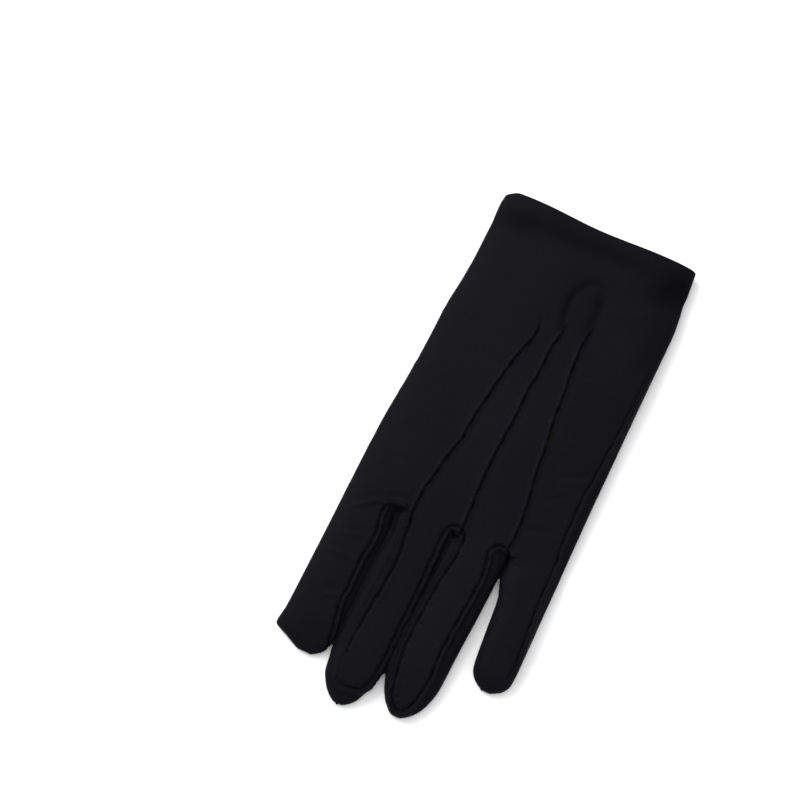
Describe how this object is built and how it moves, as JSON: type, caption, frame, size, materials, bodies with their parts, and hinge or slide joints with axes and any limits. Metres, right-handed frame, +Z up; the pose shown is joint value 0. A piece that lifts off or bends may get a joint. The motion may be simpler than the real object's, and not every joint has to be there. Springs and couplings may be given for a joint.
{
  "type": "formal glove",
  "caption": "Left-hand dress glove of thin stretch cloth lying palm down, with raised tucks along its back, finger gussets, a plain turned hem and its thumb folded underneath.",
  "frame": {"origin": "middle of the glove's footprint, on the surface that it lies on", "axes": "+X from the index side to the little-finger side, +Y from the fingertips to the cuff, +Z up from the palm to the back"},
  "size_m": [0.1042, 0.2416, 0.0133],
  "materials": {
    "glove_cloth": "black stretch nylon tricot, matt with a soft sheen",
    "gusset_cloth": "black stretch nylon tricot, matt with a soft sheen"
  },
  "bodies": {
    "root": {"trank": "glove_cloth", "fourchette_index_middle": "gusset_cloth", "fourchette_middle_ring": "gusset_cloth", "fourchette_ring_little": "gusset_cloth", "thumb": "glove_cloth"}
  },
  "joints": []
}
